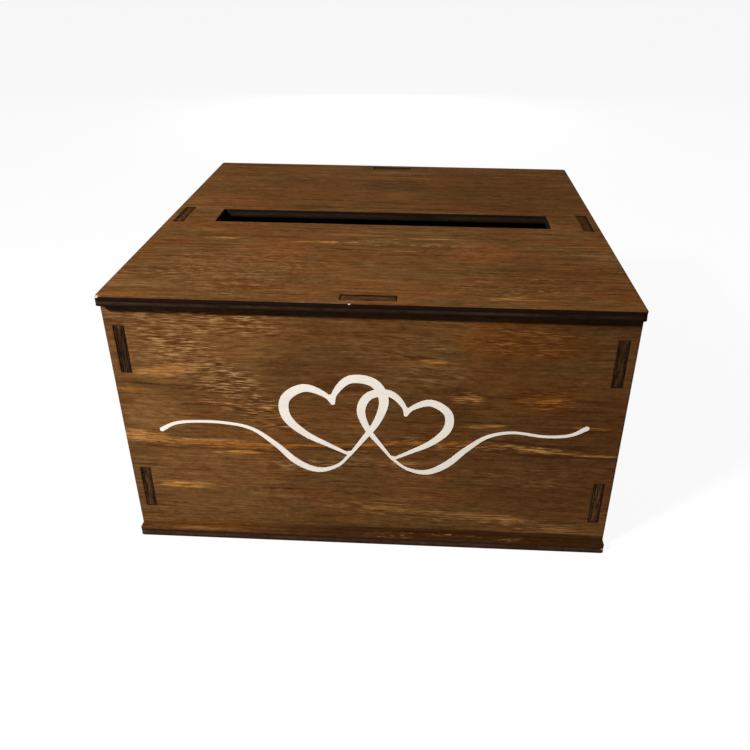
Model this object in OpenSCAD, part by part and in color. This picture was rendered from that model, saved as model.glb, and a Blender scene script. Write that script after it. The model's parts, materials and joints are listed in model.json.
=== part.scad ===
// Card box: six laser-cut plywood panels with through tabs, a lift-off lid with a
// card slot, and a white vinyl flourish on the front.
// The origin is the middle of the underside. +Z is up and the front faces -Y.

/* [Plywood] */
// Thickness of every panel
ply = 5.5; // [4:0.5:8]

/* [Box] */
// Width of the lid and the base
plate_w = 280; // [260:1:360]
// Depth of the lid and the base
plate_d = 254; // [180:1:360]
// Height from the table to the top of the lid
box_h = 162; // [140:1:260]
// How far the lid and the base reach past the outer faces of the walls
overhang = 5; // [5:0.5:12]
// How far the front and back panels reach past the outer faces of the side panels
ear = 4.8; // [3:0.1:4.8]
// Corner radius of the lid and the base
corner_r = 1.5; // [0.5:0.5:5]

/* [Joints] */
// Length of every tab along its panel's edge
tab_len = 28.5; // [15:0.5:30]
// Distance from a wall's top or bottom to the nearest tab on its side edge
tab_inset = 14; // [8:0.5:20]
// How far the end of a tab stays below the face that it comes through
tab_recess = 0.3; // [0:0.1:1]
// Clearance all round a glued tab
glue_gap = 0.2; // [0.05:0.05:0.3]
// Clearance all round a tab that the lid drops over
lid_gap = 0.4; // [0.2:0.1:0.8]

/* [Card slot] */
// Length of the slot, across the lid
slot_w = 217; // [190:1:235]
// Width of the slot, front to back
slot_d = 24; // [10:1:40]

/* [Flourish] */
// Thickness of the vinyl
vinyl_t = 0.2; // [0.1:0.1:0.5]
// Height of the swashes above the table
flourish_z = 80; // [70:1:90]
// Width of the hairlines
hairline = 1.7; // [1:0.1:2.5]
// Width of the heaviest strokes
swell = 5.4; // [3:0.1:6]

/* [Hidden] */
$fn = 48;

stain = [0.43, 0.28, 0.15];
white = [0.93, 0.92, 0.89];

wall_h = box_h - 2 * ply;
front_w = plate_w - 2 * (overhang - ear);
side_x = plate_w / 2 - overhang;
front_y = plate_d / 2 - overhang;
side_d = 2 * (front_y - ply);
tab_reach = ply - tab_recess;
// Heights of the middles of the tabs that join the walls
tab_z = [ply + tab_inset + tab_len / 2, box_h - ply - tab_inset - tab_len / 2];

// ---- Panels --------------------------------------------------------------------------

// A rectangle with true arcs at its corners
module rounded_rect(w, d, r) {
    square([w - 2 * r, d], center = true);
    square([w, d - 2 * r], center = true);
    for (x = [-1, 1], y = [-1, 1])
        translate([x * (w / 2 - r), y * (d / 2 - r)]) circle(r);
}

// A hole for one tab, lying along X
module mortise(gap) {
    square([tab_len + 2 * gap, ply + 2 * gap], center = true);
}

// A lid or base, with a mortise over the middle of each wall. Children are further holes.
module plate(gap) {
    linear_extrude(ply) difference() {
        rounded_rect(plate_w, plate_d, corner_r);
        for (side = [-1, 1]) {
            translate([0, side * (front_y - ply / 2)]) mortise(gap);
            translate([side * (side_x - ply / 2), 0]) rotate(90) mortise(gap);
        }
        children();
    }
}

// A wall's rectangle, drawn in its own plane, with one tab up and one tab down
module wall_blank(w) {
    translate([-w / 2, ply]) square([w, wall_h]);
    translate([-tab_len / 2, ply - tab_reach]) square([tab_len, wall_h + 2 * tab_reach]);
}

// A front or back panel, whose mortises take the side panels' tabs
module front_or_back() {
    rotate([90, 0, 0]) linear_extrude(ply) difference() {
        wall_blank(front_w);
        for (side = [-1, 1], z = tab_z)
            translate([side * (side_x - ply / 2), z]) rotate(90) mortise(glue_gap);
    }
}

// A side panel, with two tabs into the front panel and two into the back one
module side_wall() {
    reach = side_d / 2 + tab_reach;
    rotate([90, 0, 90]) linear_extrude(ply) {
        wall_blank(side_d);
        for (z = tab_z)
            translate([-reach, z - tab_len / 2]) square([2 * reach, tab_len]);
    }
}

module base_panel() {
    color(stain) plate(glue_gap);
}

module front_panel() {
    color(stain) translate([0, ply - front_y, 0]) front_or_back();
}

module back_panel() {
    color(stain) translate([0, front_y, 0]) front_or_back();
}

module left_panel() {
    color(stain) translate([-side_x, 0, 0]) side_wall();
}

module right_panel() {
    color(stain) translate([side_x - ply, 0, 0]) side_wall();
}

module lid_panel() {
    color(stain) translate([0, 0, box_h - ply]) plate(lid_gap) square([slot_w, slot_d], center = true);
}

// ---- Flourish ------------------------------------------------------------------------
// Two linked hearts and two long swashes, cut in one piece. Each stroke runs through
// points that give its place and its width, so it swells and thins as a broad pen's does.
// Each point is across, up, width.

// The right-hand half of a heart, from its dip to its tip
heart = [
    [0, 11, hairline],
    [3, 18, 0.6 * swell],
    [13, 24.5, 0.9 * swell],
    [25, 20, swell],
    [28, 8, swell],
    [21, -5, 0.75 * swell],
    [10, -15.5, 0.5 * swell],
    [0, -24.5, hairline],
];
left_swash = [
    [-11, -16.5, hairline],
    [-18.5, -25, 0.35 * swell],
    [-30, -28.5, 0.6 * swell],
    [-42, -23, 0.75 * swell],
    [-53, -11.5, 0.6 * swell],
    [-66, -1, 0.4 * swell],
    [-81, 2.5, hairline],
    [-98, 2.8, hairline],
    [-110, 1, 0.35 * swell],
    [-118, -3.5, 0.5 * swell],
];
right_swash = [
    [13, -18.5, hairline],
    [21.5, -25.5, 0.35 * swell],
    [33, -27.5, 0.6 * swell],
    [44, -21.5, 0.75 * swell],
    [54.5, -10.5, 0.6 * swell],
    [66, -1, 0.4 * swell],
    [80, 2.5, hairline],
    [97, 0.6, hairline],
    [111, 1.8, 0.35 * swell],
    [120, 7, 0.5 * swell],
];
steps = 5;

// The point before the first and the one after the last carry on in a straight line
function knot(k, i) =
    i < 0 ? 2 * k[0] - k[1] : i >= len(k) ? 2 * k[len(k) - 1] - k[len(k) - 2] : k[i];

// Catmull-Rom curve through the knots, s of the way from knot i to the next
function curve(k, i, s) = let (a = knot(k, i - 1), b = knot(k, i), c = knot(k, i + 1), d = knot(k, i + 2))
    b + s / 2 * (c - a + s * (2 * a - 5 * b + 4 * c - d + s * (3 * (b - c) + d - a)));
function heading(k, i, s) = curve(k, i, s + 0.01) - curve(k, i, s - 0.01);

// Points along one edge of a stroke: side is 1 for its left and -1 for its right
function edge(k, side) = [for (n = [0 : steps * (len(k) - 1)])
    let (i = min(floor(n / steps), len(k) - 2), s = n / steps - i, p = curve(k, i, s), h = heading(k, i, s))
    [p.x, p.y] + side * p[2] / 2 * [-h.y, h.x] / norm([h.x, h.y])];
function reverse(v) = [for (n = [len(v) - 1 : -1 : 0]) v[n]];

// Points round a stroke's end at p, from its right edge to its left as it heads along h
function cap(p, h) = [for (a = [-60 : 30 : 60])
    [p.x, p.y] + p[2] / 2 * [cos(a + atan2(h.y, h.x)), sin(a + atan2(h.y, h.x))]];

module stroke(k) {
    last = len(k) - 1;
    finish = cap(k[last], heading(k, last - 1, 1));
    start = cap(k[0], -heading(k, 0, 0));
    polygon(concat(edge(k, -1), finish, reverse(edge(k, 1)), start));
}

// One edge of the heart's right half, closed by its mirror image
function heart_edge(side) = let (half = [for (p = edge(heart, side)) if (p.x > 0.1) p])
    concat(half, [for (p = reverse(half)) [-p.x, p.y]]);

module heart_ring() {
    difference() {
        polygon(heart_edge(1));
        polygon(heart_edge(-1));
    }
}

module flourish_drawing() {
    translate([-17, 7]) rotate(14) heart_ring();
    translate([18, 2]) rotate(-13) scale(0.88) heart_ring();
    stroke(left_swash);
    stroke(right_swash);
}

// The offset of nothing joins the strokes into one outline
module flourish_decal() {
    color(white) translate([0, -front_y, flourish_z]) rotate([90, 0, 0]) linear_extrude(vinyl_t)
        offset(delta = 0) flourish_drawing();
}

base_panel();
front_panel();
back_panel();
left_panel();
right_panel();
lid_panel();
flourish_decal();
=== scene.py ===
"""Looks of the plywood card box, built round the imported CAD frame. Lengths are in metres."""

import json
from collections import namedtuple
from itertools import pairwise
from math import cos, pi, radians

import bmesh
import bpy
from mathutils import Matrix, Vector
from mathutils.bvhtree import BVHTree
from mathutils.noise import noise


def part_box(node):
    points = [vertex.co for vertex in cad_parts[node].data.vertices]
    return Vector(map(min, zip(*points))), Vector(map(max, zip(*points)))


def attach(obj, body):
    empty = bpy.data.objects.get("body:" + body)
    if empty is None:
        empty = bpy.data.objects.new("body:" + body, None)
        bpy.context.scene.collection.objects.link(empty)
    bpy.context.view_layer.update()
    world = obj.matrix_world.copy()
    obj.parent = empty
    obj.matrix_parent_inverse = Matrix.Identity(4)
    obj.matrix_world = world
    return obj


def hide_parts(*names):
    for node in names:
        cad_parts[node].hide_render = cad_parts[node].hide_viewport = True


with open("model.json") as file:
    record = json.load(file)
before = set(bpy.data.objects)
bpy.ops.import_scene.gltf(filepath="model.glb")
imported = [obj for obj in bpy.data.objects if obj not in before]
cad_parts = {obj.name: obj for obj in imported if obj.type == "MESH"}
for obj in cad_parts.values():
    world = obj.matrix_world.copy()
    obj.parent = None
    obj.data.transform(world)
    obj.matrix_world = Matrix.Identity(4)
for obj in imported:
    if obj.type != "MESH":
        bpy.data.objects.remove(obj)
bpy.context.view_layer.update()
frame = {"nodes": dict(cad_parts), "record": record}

MM = 0.001
X, Y, Z = range(3)

# ---- Camera and light ------------------------------------------------------------------
# Where the camera stands, and how far it turns down, left and over, in degrees
CAMERA_AT = (0.0276, -0.4446, 0.3215)
CAMERA_DOWN, CAMERA_LEFT, CAMERA_ROLL = 27.03, 2.44, 0.52
LENS, SENSOR = 34.1, 36
SHIFT = (-0.0267, -0.0867)
FLOOR_RADIUS = 14
# What the camera sees of the floor, glowing and matte, and what the box is lit by in its place
FLOOR_GLOW, FLOOR_MATTE, FLOOR_BOUNCE = 0.93, 0.07, 0.15
# The strength of the light from all round
FILL = 0.05
# A small lamp at the front left, two broad ones at the right and the back, and where all aim
LIT = (0, 0, 0.08)
KEY_AT, KEY_SIZE, KEY_POWER = (-0.59, -0.63, 0.74), 0.11, 16
SIDE_AT, BACK_AT, SOFT_SIZE, SOFT_POWER = (1.25, 0.25, 0.32), (-0.10, 1.30, 0.32), 0.5, 6

# ---- Plywood ---------------------------------------------------------------------------
# Steps of a panel's grid along and across the grain, and along its rim
GRAIN_PITCH, RING_PITCH, RIM_PITCH = 5 * MM, 1.2 * MM, 1.25 * MM
# How far the grid's next line lies from each end, tab and hole
COLLAR = 1.5 * MM
PLATE_CORNER = 1.5 * MM
# The rounding of a panel's edges
EASE = 0.3 * MM
# A veneer's thickness, half a glue line's, and how far inside the cut the line and core lie
VENEER, GLUE_LINE = 1.1 * MM, 0.12 * MM
GROOVE, CORE_INSET = 0.16 * MM, 0.07 * MM
# Heights of the laser's ripples, the grain's ridges and the face's slow swell
RIPPLE, RELIEF, SWELL = 0.08 * MM, 0.06 * MM, 0.05 * MM
# A cut face this near to a panel's limit is a tab's end
TAB_END = 0.5 * MM

# The card slot's upper corner, with a margin that takes in its walls
SLOT_MARGIN = 2.5 * MM
SLOT_HIGH = next(
    [c + SLOT_MARGIN for c in opening["box_m"][1]]
    for opening in frame["record"]["physics"]["openings"]
    if opening["name"] == "card_slot"
)

# node and body are the CAD's names. along is the axis of the face grain, across lies in the
# face too, and through goes through the plies. outer is the side of the show face.
Board = namedtuple("Board", "node body along across through outer corner tab_axes seed")
BOARDS = [
    Board("base_panel", "box", X, Y, Z, 1, PLATE_CORNER, (), 1),
    Board("front_panel", "box", X, Z, Y, -1, 0, (Z,), 2),
    Board("back_panel", "box", X, Z, Y, 1, 0, (Z,), 3),
    Board("left_panel", "box", Y, Z, X, -1, 0, (Y, Z), 4),
    Board("right_panel", "box", Y, Z, X, 1, 0, (Y, Z), 5),
    Board("lid_panel", "lid", X, Y, Z, 1, PLATE_CORNER, (), 6),
]

# The material slots of a panel: its two faces, its cut edges, a tab's end cut across the grain
# of its faces and one cut along it, and the walls of the card slot
SHOW, BACK, CUT, TAB_ACROSS, TAB_ALONG, SLOT = range(6)

# Spots where the stain is knocked off: where, how far it reaches and how deep it is
Chip = namedtuple("Chip", "x y z reach depth")
CHIPS = {
    "lid_panel": [
        Chip(-139.2, -126.6, 162.8, 2.4, 0.5),
        Chip(-9.2, -127, 162.3, 1.0, 0.4),
    ],
    "base_panel": [Chip(139.5, -127, 3, 1.6, 0.3)],
}

# A patch of the veneer where the stain took differently: its middle, half its length and
# width in millimetres along and across the grain, its tilt in degrees, and its strength. The broad
# dark ones on the front's right are painted shade where the light falls off, and the dark band
# along the front's foot is painted shadow where it meets the base
Patch = namedtuple("Patch", "along across long wide tilt strength colour")
GOLD = (0.46, 0.20, 0.048)
ORANGE = (0.33, 0.105, 0.012)
RUSSET = (0.20, 0.066, 0.018)
UMBER = (0.042, 0.014, 0.003)
DEEP = (0.080, 0.029, 0.006)
MOSS = (0.070, 0.034, 0.011)
RUST = (0.165, 0.052, 0.006)
HONEY = (0.205, 0.090, 0.026)
TAN = (0.37, 0.19, 0.070)
AMBER = (0.42, 0.175, 0.046)
EMBER = (0.27, 0.090, 0.016)
# A pale patch narrower than this is torn into strands by the grain
NARROW = 12
PATCHES = {
    "front_panel": [
        Patch(-96, 38, 60, 40, 0, 0.40, HONEY),
        Patch(-94, 126, 56, 30, 0, 0.40, HONEY),
        Patch(-122, 88, 26, 16, 0, 0.75, HONEY),
        # Painted shade: the front's right half is darkened where the light falls off
        Patch(95, 85, 100, 80, 0, 0.50, DEEP),
        Patch(120, 84, 50, 36, 0, 0.45, DEEP),
        Patch(112, 50, 60, 40, 0, 0.30, DEEP),
        Patch(0, 140, 50, 20, 0, 0.40, DEEP),
        Patch(-24, 117, 46, 18, 4, 0.50, DEEP),
        Patch(6, 90, 80, 40, 0, 0.14, DEEP),
        Patch(82, 141, 46, 17, 0, 0.95, RUST),
        Patch(86, 138, 40, 17, 0, 0.30, UMBER),
        Patch(53, 104, 18, 9, 0, 0.70, DEEP),
        Patch(96, 105, 25, 12, 4, 0.85, RUST),
        Patch(96, 105, 25, 12, 4, 0.50, UMBER),
        Patch(96, 104, 18, 2.5, 4, 0.85, ORANGE),
        Patch(53, 104, 14, 2.3, 0, 0.62, GOLD),
        Patch(36, 126.5, 10, 1.6, 0, 0.80, GOLD),
        Patch(-110, 116, 25, 4.5, 9, 0.85, GOLD),
        Patch(-104, 105.5, 38, 1.8, -3, 0.50, UMBER),
        Patch(-132, 103, 10, 3.0, 6, 0.50, ORANGE),
        Patch(-131, 72, 20, 6.0, -6, 1.00, GOLD),
        Patch(-92, 68.2, 46, 3.6, -1, 1.00, AMBER),
        Patch(-80, 67.4, 50, 2.0, -1, 1.20, ORANGE),
        Patch(-74, 62, 16, 1.8, 3, 1.10, GOLD),
        Patch(-92, 64.0, 50, 1.2, -1, 0.55, UMBER),
        Patch(-20, 69.4, 56, 1.6, 3, 1.10, ORANGE),
        Patch(-14, 67.4, 52, 1.0, 3, 0.50, UMBER),
        Patch(34, 72.6, 40, 1.6, 1, 1.10, ORANGE),
        Patch(36, 70.6, 40, 1.0, 1, 0.60, UMBER),
        Patch(88, 71.2, 20, 1.8, -8, 0.80, GOLD),
        Patch(122, 68.6, 24, 1.1, -2, 0.95, GOLD),
        Patch(124, 66.6, 22, 1.0, -2, 0.60, UMBER),
        Patch(92, 74.6, 36, 1.3, -5, 0.80, UMBER),
        Patch(88, 67.4, 34, 1.3, -3, 0.80, UMBER),
        Patch(64, 86, 15, 1.6, 4, 0.80, GOLD),
        Patch(120, 87, 14, 1.2, -2, 0.70, ORANGE),
        Patch(122, 85, 18, 1.1, -2, 0.60, UMBER),
        Patch(-110, 36.8, 24, 3.2, -2, 1.15, GOLD),
        Patch(18, 58, 12, 2.0, 0, 0.50, GOLD),
        Patch(-80, 6.5, 42, 2.6, 0, 0.70, RUST),
        Patch(20, 23, 44, 2.4, -4, 0.45, GOLD),
        Patch(70, 19.5, 34, 4.5, -3, 0.45, GOLD),
        Patch(84, 18.7, 9, 1.4, 0, 1.00, GOLD),
        Patch(112, 12, 16, 2.4, 0, 0.50, GOLD),
        # Painted shadow: a dark band along the front's foot, where it meets the base
        Patch(60, 7, 150, 3.4, 0, 0.85, UMBER),
        # Painted shade: the front's upper right corner is darkened where the light falls off
        Patch(122, 146, 30, 16, 0, 0.45, UMBER),
        Patch(100, 149, 50, 5, 0, 0.40, UMBER),
        Patch(-95, 7.6, 60, 2.0, 0, 0.50, RUST),
    ],
    "lid_panel": [
        Patch(-80, -90, 70, 48, 0, 0.24, DEEP),
        Patch(10, -85, 55, 45, 0, 0.10, HONEY),
        Patch(84, 60, 76, 70, 0, 0.38, DEEP),
        Patch(-60, 70, 90, 60, 0, 0.14, DEEP),
        Patch(100, -85, 46, 40, 0, 0.25, DEEP),
        Patch(62, -55, 26, 22, 0, 0.70, RUSSET),
        Patch(-62, -60, 30, 30, 0, 0.35, RUSSET),
        Patch(6, 70, 34, 18, 0, 0.50, MOSS),
        Patch(-30, -44, 28, 1.7, 0, 1.05, GOLD),
        Patch(3, -36.8, 14, 1.3, 0, 0.80, GOLD),
        Patch(36, -35.5, 24, 1.3, 0, 0.70, GOLD),
        Patch(-97, -41, 16, 2.0, 1, 0.70, GOLD),
        Patch(18, -56, 12, 1.3, 0, 0.70, GOLD),
        Patch(72, -116, 10, 4, 12, 0.60, GOLD),
        Patch(-40, -27, 60, 3, -2, 0.25, UMBER),
        Patch(60, -84, 60, 6, -3, 0.30, DEEP),
    ],
    "base_panel": [
        Patch(0, -124.5, 300, 8, 0, 0.65, DEEP),
        Patch(-85, -124.5, 60, 2.6, 0, 0.35, RUST),
        Patch(-95, -125, 26, 1.6, 0, 0.30, GOLD),
        Patch(70, -124.5, 190, 8, 0, 1.00, UMBER),
    ],
}

# Where the grain is figured into dense short flecks, light beside dark, and the colour of the
# light ones
FIGURE = {
    "front_panel": [
        Patch(-84, 146, 66, 12, -2, 0.90, TAN),
        Patch(-104, 130, 34, 19, -10, 0.90, TAN),
        Patch(-82, 113, 36, 17, -24, 1.00, TAN),
        Patch(-72, 99, 38, 15, -22, 1.00, TAN),
        Patch(-54, 86, 30, 10, -16, 0.90, AMBER),
        Patch(-92, 67, 50, 5, -2, 0.90, AMBER),
        Patch(20, 134, 40, 12, 0, 0.45, TAN),
        Patch(36, 118, 30, 12, 0, 0.45, TAN),
        Patch(84, 140, 38, 14, 0, 0.70, EMBER),
        Patch(97, 104, 20, 9, 0, 1.00, EMBER),
        Patch(53, 104, 14, 6, 0, 1.00, AMBER),
        Patch(60, 72, 80, 5, -2, 0.80, AMBER),
        Patch(-10, 57, 60, 9, 0, 0.50, TAN),
        Patch(-38, 54, 30, 6, 0, 0.90, TAN),
        Patch(92, 48, 44, 9, 0, 0.40, TAN),
        Patch(20, 22, 90, 8, -4, 0.50, TAN),
        Patch(90, 16, 40, 8, -4, 0.60, TAN),
    ],
    "lid_panel": [
        Patch(-75, -88, 76, 46, 0, 0.50, TAN),
        Patch(0, -44, 60, 7, 0, 0.60, TAN),
        Patch(80, -100, 60, 24, 0, 0.45, TAN),
        Patch(60, -50, 60, 24, 0, 0.35, TAN),
        Patch(-60, 60, 70, 44, 0, 0.25, TAN),
    ],
}


# ---- Panels in mesh --------------------------------------------------------------------
def feature_lines(points, axis, corner):
    """Where a panel's ends, tabs and holes lie along an axis, without its rounded corners' points."""
    places = sorted({round(p[axis], 6) for p in points})
    low, high = places[0] + 1.01 * corner, places[-1] - 1.01 * corner
    return [places[0]] + [p for p in places[1:-1] if low < p < high] + [places[-1]]


def grid_lines(features, pitch):
    """The features, a line a collar's width to each side of them, and even steps in between."""
    lines = [features[0]]
    for a, b in pairwise(features):
        inner = b - a - 2 * COLLAR
        steps = max(1, round(inner / pitch))
        lines += [a + COLLAR + inner * k / steps for k in range(steps + 1)]
        lines.append(b)
    return lines


def flat_sheet(board):
    """The outline of a board with its tabs and holes, as a flat grid along and across the grain."""
    mesh = frame["nodes"][board.node].data
    points = [v.co for v in mesh.vertices]
    tree = BVHTree.FromPolygons(points, [tuple(p.vertices) for p in mesh.polygons])
    us = grid_lines(feature_lines(points, board.along, board.corner), GRAIN_PITCH)
    vs = grid_lines(feature_lines(points, board.across, board.corner), RING_PITCH)
    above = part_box(board.node)[1][board.through] + MM
    down = Vector((0, 0, 0))
    down[board.through] = -1
    bm = bmesh.new()
    corners = {}

    def corner(i, j):
        if (i, j) not in corners:
            corners[i, j] = bm.verts.new((us[i], vs[j], 0))
        return corners[i, j]

    for i in range(len(us) - 1):
        for j in range(len(vs) - 1):
            eye = Vector((0, 0, 0))
            eye[board.along] = (us[i] + us[i + 1]) / 2
            eye[board.across] = (vs[j] + vs[j + 1]) / 2
            eye[board.through] = above
            if tree.ray_cast(eye, down)[0]:
                bm.faces.new((corner(i, j), corner(i + 1, j), corner(i + 1, j + 1), corner(i, j + 1)))
    return bm


def refine_rim(bm, corner):
    """Splits the sheet's long rim edges, and moves the rim onto an arc at each rounded corner."""
    by_cuts = {}
    for e in bm.edges:
        if e.is_boundary:
            by_cuts.setdefault(round(e.calc_length() / RIM_PITCH) - 1, []).append(e)
    for cuts, edges in by_cuts.items():
        if cuts > 0:
            bmesh.ops.bisect_edges(bm, edges=edges, cuts=cuts)
    if corner:
        high = Vector((max(v.co.x for v in bm.verts), max(v.co.y for v in bm.verts)))
        for v in bm.verts:
            side = Vector((1 if v.co.x > 0 else -1, 1 if v.co.y > 0 else -1))
            centre = Vector((side.x * (high.x - corner), side.y * (high.y - corner)))
            out = v.co.xy - centre
            if out.x * side.x > 0 and out.y * side.y > 0 and v.is_boundary:
                v.co.xy = centre + out.normalized() * corner


def rim_mitres(bm):
    """For each vertex of the rim, the way out. A step of 1 along it moves both of its edges by 1."""
    normals = {}
    for e in bm.edges:
        if e.is_boundary:
            run = (e.verts[1].co - e.verts[0].co).normalized()
            out = Vector((run.y, -run.x, 0))
            if out.dot(e.verts[0].co - e.link_faces[0].calc_center_median()) < 0:
                out = -out
            for v in e.verts:
                normals.setdefault(v, []).append(out)
    return {v: (a + b) / (1 + a.dot(b)) for v, (a, b) in normals.items()}


def edge_profile(thick):
    """(depth, inset) down a cut edge: an eased corner, a veneer, a burnt glue line and the core."""
    arc = EASE * (1 - cos(pi / 4))
    half = [
        (arc, arc),
        (EASE, 0),
        (VENEER - GLUE_LINE, 0.02 * MM),
        (VENEER, GROOVE),
        (VENEER + GLUE_LINE, CORE_INSET / 2),
        (0.36 * thick, CORE_INSET),
    ]
    return half + [(thick / 2, CORE_INSET)] + [(thick - d, i) for d, i in reversed(half)]


def face_relief(u, v, seed):
    """How far the veneer lies below its flat: a slow swell and the ridges of the grain."""
    swell = 0.5 + 0.5 * noise((u / (55 * MM), v / (40 * MM), 7.3 * seed))
    ridge = 0.5 + 0.5 * noise((u / (34 * MM), v / (2.6 * MM), 3.1 * seed))
    return SWELL * swell + RELIEF * ridge


def cut_ripple(u, v, depth, seed):
    """How far a cut edge lies inside its line: the ripples that the laser leaves."""
    return RIPPLE * (0.5 + 0.5 * noise((u / (2.4 * MM), v / (2.4 * MM), depth / (9 * MM) + seed)))


def rim_column(bm, top, mitre, thick, seed):
    """The vertices down a cut edge. The first is the show face's, which moves in from the line."""
    ply, char = (bm.verts.layers.float[name] for name in ("ply", "char"))
    u, v = top.co.xy
    top.co = Vector((u, v, 0)) - EASE * mitre
    low = bm.verts.new(top.co - Vector((0, 0, thick)))
    column = [top]
    for depth, inset in edge_profile(thick):
        if EASE < depth < thick - EASE:
            inset += cut_ripple(u, v, depth, seed)
        step = bm.verts.new(Vector((u, v, -depth)) - inset * mitre)
        step[ply] = depth / thick
        column.append(step)
    low[ply] = 1
    column.append(low)
    for point in column:
        point[char] = 1
    return column


def thicken(bm, thick, seed):
    """Makes the sheet a solid board below z = 0. Returns its back and cut faces.

    The uppermost band of each cut edge is part of the show face, whose veneer is rounded over it.
    On the vertices, ply is how far down the thickness they lie, and char is 1 along the cuts.
    """
    ply = bm.verts.layers.float.new("ply")
    bm.verts.layers.float.new("char")
    mitres = rim_mitres(bm)
    rim_edges = [e for e in bm.edges if e.is_boundary]
    show = list(bm.faces)
    below = {}
    columns = {}
    for top in list(bm.verts):
        if top in mitres:
            columns[top] = rim_column(bm, top, mitres[top], thick, seed)
            below[top] = columns[top][-1]
        else:
            u, v = top.co.xy
            top.co.z = -face_relief(u, v, seed)
            below[top] = bm.verts.new((u, v, face_relief(u, v, -seed) - thick))
            below[top][ply] = 1
    back = [bm.faces.new([below[v] for v in reversed(f.verts)]) for f in show]
    cuts = []
    for e in rim_edges:
        a, b = (columns[v] for v in e.verts)
        bands = [bm.faces.new((a0, b0, b1, a1)) for (a0, a1), (b0, b1) in zip(pairwise(a), pairwise(b))]
        cuts += bands[1:]
    return back, cuts


def place(bm, board, show_at):
    """Turns the board from its own axes to the frame's, with its show face at show_at."""
    for v in bm.verts:
        u, w, depth = v.co
        v.co[board.along] = u
        v.co[board.across] = w
        v.co[board.through] = show_at + board.outer * depth


def knock(bm, chips):
    """Presses the chips in along the surface's own normals, and marks where the wood is bare."""
    worn = bm.verts.layers.float.new("worn")
    bm.normal_update()
    for chip in chips:
        middle = Vector((chip.x, chip.y, chip.z)) * MM
        for v in bm.verts:
            near = 1 - ((v.co - middle).length / (chip.reach * MM)) ** 2
            if near > 0:
                v.co -= v.normal * near * chip.depth * MM
                v[worn] = max(v[worn], near)


def cut_kind(board, low, high, at):
    """The material slot of a cut face whose middle is at a point."""
    for axis in board.tab_axes:
        if min(at[axis] - low[axis], high[axis] - at[axis]) < TAB_END:
            return TAB_ACROSS if axis == board.along else TAB_ALONG
    in_slot = abs(at.x) < SLOT_HIGH[X] and abs(at.y) < SLOT_HIGH[Y]
    return SLOT if board.body == "lid" and in_slot else CUT


def board_piece(board, materials):
    """The detailed panel that stands for a CAD node."""
    low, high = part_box(board.node)
    thick = high[board.through] - low[board.through]
    bm = flat_sheet(board)
    refine_rim(bm, board.corner)
    back, cuts = thicken(bm, thick, board.seed)
    for f in back:
        f.material_index = BACK
    place(bm, board, high[board.through] if board.outer > 0 else low[board.through])
    for f in cuts:
        f.material_index = cut_kind(board, low, high, f.calc_center_median())
    bmesh.ops.recalc_face_normals(bm, faces=bm.faces)
    knock(bm, CHIPS.get(board.node, []))
    mesh = bpy.data.meshes.new(board.node)
    bm.to_mesh(mesh)
    bm.free()
    mesh.set_sharp_from_angle(angle=radians(35))
    piece = bpy.data.objects.new("plywood_" + board.node, mesh)
    bpy.context.scene.collection.objects.link(piece)
    for material in materials:
        mesh.materials.append(material)
    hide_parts(board.node)
    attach(piece, board.body)
    return piece


def decal_piece(material):
    """The vinyl flourish, with its cut edges eased a little so that they catch the light."""
    mesh = frame["nodes"]["flourish_decal"].data.copy()
    mesh.materials.clear()
    mesh.materials.append(material)
    piece = bpy.data.objects.new("vinyl_flourish", mesh)
    bpy.context.scene.collection.objects.link(piece)
    ease = piece.modifiers.new("eased edge", "BEVEL")
    ease.width, ease.segments, ease.limit_method = 0.05 * MM, 2, "ANGLE"
    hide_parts("flourish_decal")
    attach(piece, "box")
    return piece


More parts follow.
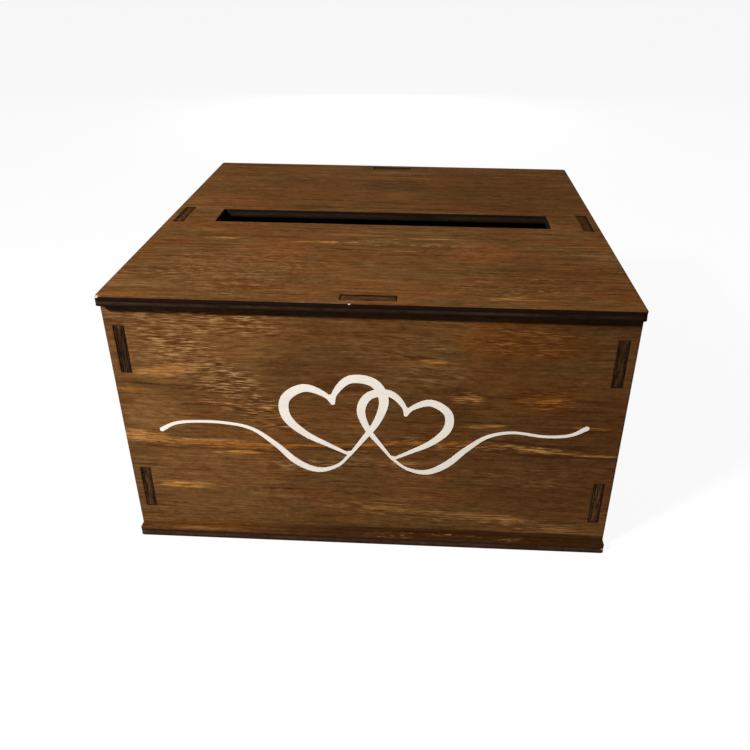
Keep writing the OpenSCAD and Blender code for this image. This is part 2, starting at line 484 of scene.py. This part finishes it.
# ---- Materials -------------------------------------------------------------------------
class Nodes:
    """A material whose nodes are added one call at a time. An input is a value or another node's output."""

    def __init__(self, name):
        self.material = bpy.data.materials.new(name)
        self.material.use_nodes = True
        self.tree = self.material.node_tree
        self.tree.nodes.clear()

    def add(self, kind, inputs, **settings):
        node = self.tree.nodes.new("ShaderNode" + kind)
        for name, value in settings.items():
            setattr(node, name, value)
        for socket, value in inputs.items():
            if isinstance(value, bpy.types.NodeSocket):
                self.tree.links.new(value, node.inputs[socket])
            else:
                node.inputs[socket].default_value = value
        return node

    def math(self, operation, a, b=0.0, clamp=False):
        return self.add("Math", {0: a, 1: b}, operation=operation, use_clamp=clamp).outputs[0]

    def noise(self, at, size, detail=2.0, roughness=0.5):
        """Noise whose features have that size in metres along each axis."""
        scale = [1 / s for s in size]
        vector = self.add("VectorMath", {0: at, 1: scale}, operation="MULTIPLY").outputs[0]
        settings = {"Vector": vector, "Scale": 1.0, "Detail": detail, "Roughness": roughness}
        return self.add("TexNoise", settings).outputs["Fac"]

    def rise(self, value, low, high):
        """0 below low, 1 above high, and smooth in between. Falls instead where low is above high."""
        inputs = {"Value": value, "From Min": low, "From Max": high}
        return self.add("MapRange", inputs, interpolation_type="SMOOTHSTEP").outputs[0]

    def mix(self, factor, a, b, blend="MIX"):
        a, b = (c if isinstance(c, bpy.types.NodeSocket) else (*c, 1.0) for c in (a, b))
        inputs = {0: factor, 6: a, 7: b}
        return self.add("Mix", inputs, data_type="RGBA", blend_type=blend).outputs[2]

    def tint(self, colour, towards, value, low, high, strength):
        """The colour, taken towards another as the value goes from low to high."""
        return self.mix(self.math("MULTIPLY", self.rise(value, low, high), strength), colour, towards)

    def shade(self, colour, amount):
        """The colour times a number."""
        grey = self.add("CombineColor", {0: amount, 1: amount, 2: amount}).outputs[0]
        return self.mix(1.0, colour, grey, "MULTIPLY")

    def stain(self, colour, amount):
        """The colour under a thinner coat of stain: red gains least and blue most. Below 1 is thicker."""
        green, blue = (self.math("POWER", amount, power) for power in (1.35, 1.9))
        coat = self.add("CombineColor", {0: amount, 1: green, 2: blue}).outputs[0]
        return self.mix(1.0, colour, coat, "MULTIPLY")

    def blend(self, *parts):
        """The sum of (value, weight) pairs."""
        total = 0.0
        for value, weight in parts:
            total = self.add("Math", {0: value, 1: weight, 2: total}, operation="MULTIPLY_ADD").outputs[0]
        return total

    def swing(self, value, far):
        """A noise turned from about 0 to 1 into about -far to far."""
        return self.math("MULTIPLY", self.math("SUBTRACT", value, 0.5), 2 * far)

    def attribute(self, name):
        return self.add("Attribute", {}, attribute_name=name).outputs["Fac"]

    def here(self):
        """The point's place in the frame, with the body at rest."""
        return self.add("TexCoord", {}).outputs["Object"]

    def place(self, board):
        """The point's place as (along, across, through) the board."""
        parts = self.add("SeparateXYZ", {0: self.here()}).outputs
        axes = {0: parts[board.along], 1: parts[board.across], 2: parts[board.through]}
        return self.add("CombineXYZ", axes).outputs[0]

    def moved(self, at, by):
        return self.add("VectorMath", {0: at, 1: by}, operation="ADD").outputs[0]

    def finish(self, colour, roughness, height, bump, **constants):
        """Ends the tree in a shader. bump is how deep the height's full range is, in metres."""
        normal = self.add("Bump", {"Height": height, "Strength": 1.0, "Distance": bump}).outputs[0]
        inputs = {"Base Color": colour, "Roughness": roughness, "Normal": normal}
        inputs.update({name.replace("_", " "): value for name, value in constants.items()})
        shader = self.add("BsdfPrincipled", inputs).outputs[0]
        self.add("OutputMaterial", {"Surface": shader})
        return self.material


DARK, LIGHT = (0.062, 0.020, 0.003), (0.205, 0.097, 0.033)
OLIVE, TAWNY = (0.124, 0.055, 0.014), (0.150, 0.055, 0.013)
FLECK_DARK = (0.076, 0.024, 0.003)
BARE_WOOD = (0.61, 0.45, 0.35)
SOOT = (0.016, 0.007, 0.003)
# How a cut edge looks: the colours of its core and of the rest, where down the thickness the
# core's pale line lies and how far it reaches to each side, as fractions of the thickness, how
# strongly the fibres show, and how much lighter it is near the table than near the lid
Edge = namedtuple("Edge", "core skin line reach fibres fade")
EDGES = {
    "lid_panel": Edge((0.031, 0.018, 0.010), (0.011, 0.004, 0.002), 0.62, 0.18, 2, 0),
    "base_panel": Edge((0.068, 0.031, 0.016), (0.044, 0.018, 0.007), 0.55, 0.22, 2.6, 0),
    "others": Edge((0.050, 0.024, 0.011), (0.022, 0.010, 0.005), 0.5, 0.30, 3, 0.3),
}
END_GRAIN = Edge((0.070, 0.031, 0.012), (0.029, 0.012, 0.005), 0.5, 0.40, 6, 0.6)
SIDE_GRAIN = Edge((0.078, 0.034, 0.011), (0.053, 0.022, 0.007), 0.5, 0.40, 4.5, 0)
SLOT_WALL = Edge((0.019, 0.011, 0.006), (0.008, 0.004, 0.002), 0.52, 0.26, 2, 0)


def patch_mask(n, at, patch):
    """1 in the middle of a patch and 0 outside it."""
    settings = {
        "Location": (patch.along * MM, patch.across * MM, 0),
        "Rotation": (0, 0, radians(patch.tilt)),
        "Scale": (patch.long * MM, patch.wide * MM, 1),
    }
    flat = n.add("VectorMath", {0: at, 1: (1, 1, 0)}, operation="MULTIPLY").outputs[0]
    local = n.add("Mapping", {"Vector": flat, **settings}, vector_type="TEXTURE").outputs[0]
    far = n.add("VectorMath", {0: local}, operation="LENGTH").outputs["Value"]
    return n.math("MULTIPLY", n.rise(far, 1.0, 0.45), patch.strength)


def bared(n, colour, fibre):
    """The colour, with the wood bare where a chip has taken the stain off."""
    bare = n.rise(n.math("ADD", n.attribute("worn"), n.math("MULTIPLY", fibre, 0.3)), 0.5, 0.62)
    return n.mix(bare, colour, BARE_WOOD)


def grain_paths(n, at, seed):
    """Three forms of the place: the board's own, one that flows with the grain, and at, feathered."""
    own = n.moved(at, (0.31 * seed, 0.17 * seed, 0.0))
    sway = n.swing(n.noise(own, (85 * MM, 20 * MM, 22 * MM), detail=1), 4 * MM)
    wave = n.swing(n.noise(own, (18 * MM, 6 * MM, 22 * MM), detail=1), 0.9 * MM)
    grain = n.moved(own, n.add("CombineXYZ", {1: n.math("ADD", sway, wave)}).outputs[0])
    feather = n.swing(n.noise(grain, (12 * MM, 1.0 * MM, 30 * MM), detail=1), 9 * MM)
    feathered = n.moved(at, n.add("CombineXYZ", {0: feather, 1: wave}).outputs[0])
    return own, grain, feathered


def stained_ground(n, own, grain, lines, loose):
    """The stain's colour away from patches and flecks: two hues, darker and lighter, with veins."""
    bands = n.noise(grain, (190 * MM, 5 * MM, 30 * MM), detail=3)
    cloud = n.noise(own, (60 * MM, 30 * MM, 36 * MM), detail=2)
    tone = n.blend((bands, 0.30), (lines, 0.35), (cloud, 0.35))
    hue = n.noise(own, (46 * MM, 18 * MM, 22 * MM), detail=2)
    colour = n.mix(n.rise(hue, 0.38, 0.62), OLIVE, TAWNY)
    colour = n.tint(colour, DARK, tone, 0.47, 0.34, 0.8)
    colour = n.tint(colour, LIGHT, tone, 0.51, 0.66, 0.8)
    vein = n.noise(grain, (70 * MM, 1.9 * MM, 30 * MM), detail=2)
    colour = n.tint(colour, DEEP, vein, 0.40, 0.28, loose)
    return n.tint(colour, ORANGE, vein, 0.60, 0.72, loose)


def patched(n, colour, grain, feathered, patches):
    """The colour with its patches. The grain tears the narrow ones, unless they are dark."""
    wisps = n.noise(grain, (14 * MM, 0.7 * MM, 30 * MM), detail=1)
    torn = n.math("ADD", n.math("MULTIPLY", n.rise(wisps, 0.42, 0.53), 0.85), 0.15)
    for patch in patches:
        mask = patch_mask(n, feathered, patch)
        if patch.wide < NARROW and patch.colour not in (UMBER, DEEP):
            mask = n.math("MULTIPLY", mask, torn, clamp=True)
        colour = n.mix(mask, colour, patch.colour)
    return colour


def crowding(n, own, grain, feathered, figure, loose):
    """How dense the flecks are, and the colour of the light ones."""
    crowd = n.math("MULTIPLY", n.rise(n.noise(own, (55 * MM, 20 * MM, 36 * MM)), 0.52, 0.70), loose)
    light = TAN
    for patch in figure:
        mask = patch_mask(n, feathered, patch)
        crowd = n.math("MAXIMUM", crowd, mask)
        if patch.colour != TAN:
            light = n.mix(mask, light, patch.colour)
    clump = n.rise(n.noise(grain, (28 * MM, 5 * MM, 30 * MM), detail=1), 0.34, 0.60)
    return n.math("MULTIPLY", crowd, n.math("ADD", n.math("MULTIPLY", clump, 0.45), 0.55)), light


def veneer(board, name, patches, figure, loose, seed):
    """Stained veneer. loose is how much fleck and vein it has outside the places in figure."""
    n = Nodes(name)
    own, grain, feathered = grain_paths(n, n.place(board), seed)
    lines = n.noise(grain, (42 * MM, 1.2 * MM, 30 * MM), detail=2, roughness=0.6)
    fibre = n.noise(grain, (9 * MM, 0.34 * MM, 30 * MM), detail=2, roughness=0.6)
    mottle = n.noise(grain, (8 * MM, 2.4 * MM, 36 * MM), detail=3, roughness=0.85)
    colour = stained_ground(n, own, grain, lines, loose)
    colour = patched(n, colour, grain, feathered, patches)

    crowd, light = crowding(n, own, grain, feathered, figure, loose)
    fleck_long = 8 * MM if board.through == Y else 4.5 * MM
    fleck = n.noise(grain, (fleck_long, 0.70 * MM, 30 * MM), detail=1)
    between = n.math("MULTIPLY", n.rise(fleck, 0.50, 0.40), crowd)
    colour = n.mix(n.math("MULTIPLY", between, 0.85), colour, FLECK_DARK)
    bright = n.math("MULTIPLY", n.rise(fleck, 0.53, 0.60), n.math("POWER", crowd, 1.6))
    colour = n.mix(bright, colour, light)

    pore = n.rise(n.noise(grain, (5 * MM, 0.4 * MM, 31 * MM), detail=1), 0.38, 0.30)
    colour = n.mix(n.math("MULTIPLY", pore, 0.35), colour, UMBER)
    colour = n.stain(colour, n.blend((fibre, 0.5), (mottle, 1.5), (lines, 0.9), (1.0, -0.45)))
    colour = n.tint(colour, SOOT, n.attribute("char"), 0.55, 1.0, 0.3)
    colour = bared(n, colour, fibre)

    roughness = n.math("ADD", n.math("MULTIPLY", fibre, 0.25), 0.42)
    height = n.blend((fibre, 0.5), (lines, 0.4), (n.math("MULTIPLY", fleck, crowd), 0.5), (pore, -0.5))
    return n.finish(colour, roughness, height, 0.12 * MM, Specular_IOR_Level=0.12)


def cut_edge(board, name, edge):
    """A laser-cut edge: burnt veneers and glue lines, a browner core and fine upright scorches."""
    n = Nodes(name)
    at = n.moved(n.place(board), (0.1 * board.seed, 0.0, 0.0))
    scorch = n.noise(at, (0.7 * MM, 0.7 * MM, 6 * MM), detail=2, roughness=0.6)
    fibre = n.noise(at, (7 * MM, 7 * MM, 0.7 * MM), detail=3, roughness=0.7)
    cloud = n.noise(at, (40 * MM, 40 * MM, 40 * MM), detail=2)
    off = n.math("ABSOLUTE", n.math("SUBTRACT", n.attribute("ply"), edge.line))
    inner = n.math("MULTIPLY", n.rise(off, edge.reach, 0.5 * edge.reach), n.rise(cloud, 0.30, 0.60))
    streak = n.blend((scorch, 0.8), (fibre, edge.fibres), (1.0, 0.6 - edge.fibres / 2))
    streak = n.math("MAXIMUM", streak, 0.2)
    colour = n.shade(n.mix(inner, edge.skin, edge.core), streak)
    if edge.fade:
        height = n.add("SeparateXYZ", {0: n.here()}).outputs[Z]
        low = n.math("MULTIPLY", n.rise(height, 0.13, 0.03), edge.fade)
        colour = n.shade(colour, n.math("ADD", low, 1.0))
    middle = n.math("ABSOLUTE", n.math("SUBTRACT", n.attribute("ply"), 0.5))
    from_glue = n.math("ABSOLUTE", n.math("SUBTRACT", middle, 0.3))
    colour = n.tint(colour, SOOT, from_glue, 0.05, 0.02, 0.7)
    colour = bared(n, colour, fibre)
    roughness = n.math("ADD", n.math("MULTIPLY", scorch, 0.3), 0.55)
    return n.finish(colour, roughness, streak, 0.1 * MM, Specular_IOR_Level=0.06)


def vinyl():
    """Matte sign vinyl over the wood: warm white, with the grain showing through as faint ridges."""
    n = Nodes("white_vinyl")
    at = n.here()
    ridge = n.noise(at, (34 * MM, 5 * MM, 2 * MM), detail=2)
    skin = n.noise(at, (0.5 * MM, 0.5 * MM, 0.5 * MM), detail=2)
    dust = n.noise(at, (14 * MM, 14 * MM, 14 * MM), detail=3)
    colour = n.mix(n.rise(dust, 0.35, 0.65), (0.89, 0.81, 0.71), (0.94, 0.86, 0.76))
    roughness = n.math("ADD", n.math("MULTIPLY", skin, 0.2), 0.42)
    height = n.math("ADD", n.math("MULTIPLY", ridge, 0.8), n.math("MULTIPLY", skin, 0.1))
    return n.finish(colour, roughness, height, 0.08 * MM, Specular_IOR_Level=0.2)


def board_materials(board):
    """A panel's materials, in the order of its slots."""
    name = board.node
    patches, figure = PATCHES.get(name, []), FIGURE.get(name, [])
    loose = 0.3 if figure else 0.6
    return [
        veneer(board, name + "_show", patches, figure, loose, board.seed),
        veneer(board, name + "_back", [], [], 0.4, board.seed + 10),
        cut_edge(board, name + "_cut", EDGES.get(name, EDGES["others"])),
        cut_edge(board, name + "_end_grain", END_GRAIN),
        cut_edge(board, name + "_side_grain", SIDE_GRAIN),
        cut_edge(board, name + "_slot", SLOT_WALL),
    ]


# ---- Floor, light and camera -----------------------------------------------------------
def seen_directly(tree, seen, otherwise):
    """A mix of two shaders: the camera sees the first, and the box is lit by the second."""
    path = tree.nodes.new("ShaderNodeLightPath")
    mix = tree.nodes.new("ShaderNodeMixShader")
    tree.links.new(path.outputs["Is Camera Ray"], mix.inputs[0])
    tree.links.new(otherwise, mix.inputs[1])
    tree.links.new(seen, mix.inputs[2])
    return mix.outputs[0]


def floor():
    """A pale floor that keeps a faint shadow. It throws little light back up, as if flagged off."""
    bm = bmesh.new()
    bmesh.ops.create_circle(bm, cap_ends=True, radius=FLOOR_RADIUS, segments=96)
    mesh = bpy.data.meshes.new("floor")
    bm.to_mesh(mesh)
    bm.free()
    n = Nodes("pale_floor")
    glow = n.add("Emission", {"Color": (1, 1, 1, 1), "Strength": FLOOR_GLOW}).outputs[0]
    matte = n.add("BsdfDiffuse", {"Color": (FLOOR_MATTE, FLOOR_MATTE, FLOOR_MATTE, 1)}).outputs[0]
    pale = n.add("AddShader", {0: glow, 1: matte}).outputs[0]
    flag = n.add("BsdfDiffuse", {"Color": (FLOOR_BOUNCE, FLOOR_BOUNCE, FLOOR_BOUNCE, 1)}).outputs[0]
    n.add("OutputMaterial", {"Surface": seen_directly(n.tree, pale, flag)})
    mesh.materials.append(n.material)
    piece = bpy.data.objects.new("floor", mesh)
    bpy.context.scene.collection.objects.link(piece)


def lamp(name, at, towards, size, power, glossy=True):
    light = bpy.data.lights.new(name, "AREA")
    light.shape, light.size, light.energy = "DISK", size, power
    piece = bpy.data.objects.new(name, light)
    piece.location = at
    piece.rotation_euler = (Vector(towards) - Vector(at)).to_track_quat("-Z", "Y").to_euler()
    piece.visible_camera = False
    piece.visible_glossy = glossy
    bpy.context.scene.collection.objects.link(piece)


def surroundings():
    """White all round, seen at full strength and lighting the box more gently."""
    world = bpy.data.worlds.new("studio")
    bpy.context.scene.world = world
    world.use_nodes = True
    tree = world.node_tree
    tree.nodes.clear()
    seen = tree.nodes.new("ShaderNodeBackground")
    seen.inputs["Strength"].default_value = FLOOR_GLOW
    fill = tree.nodes.new("ShaderNodeBackground")
    fill.inputs["Strength"].default_value = FILL
    for background in (seen, fill):
        background.inputs["Color"].default_value = (1, 1, 1, 1)
    output = tree.nodes.new("ShaderNodeOutputWorld")
    tree.links.new(seen_directly(tree, seen.outputs[0], fill.outputs[0]), output.inputs["Surface"])


def camera():
    data = bpy.data.cameras.new("camera")
    data.lens, data.sensor_width = LENS, SENSOR
    data.shift_x, data.shift_y = SHIFT
    piece = bpy.data.objects.new("camera", data)
    turn = Matrix.Rotation(radians(CAMERA_LEFT), 4, "Z") @ Matrix.Rotation(radians(90 - CAMERA_DOWN), 4, "X")
    piece.matrix_world = Matrix.Translation(CAMERA_AT) @ turn @ Matrix.Rotation(radians(CAMERA_ROLL), 4, "Z")
    bpy.context.scene.collection.objects.link(piece)
    bpy.context.scene.camera = piece


camera()
floor()
surroundings()
lamp("key", KEY_AT, LIT, KEY_SIZE, KEY_POWER)
lamp("soft side", SIDE_AT, LIT, SOFT_SIZE, SOFT_POWER, glossy=False)
lamp("soft back", BACK_AT, LIT, SOFT_SIZE, SOFT_POWER, glossy=False)
bpy.context.scene.view_settings.view_transform = "Standard"

for each in BOARDS:
    board_piece(each, board_materials(each))
decal_piece(vinyl())
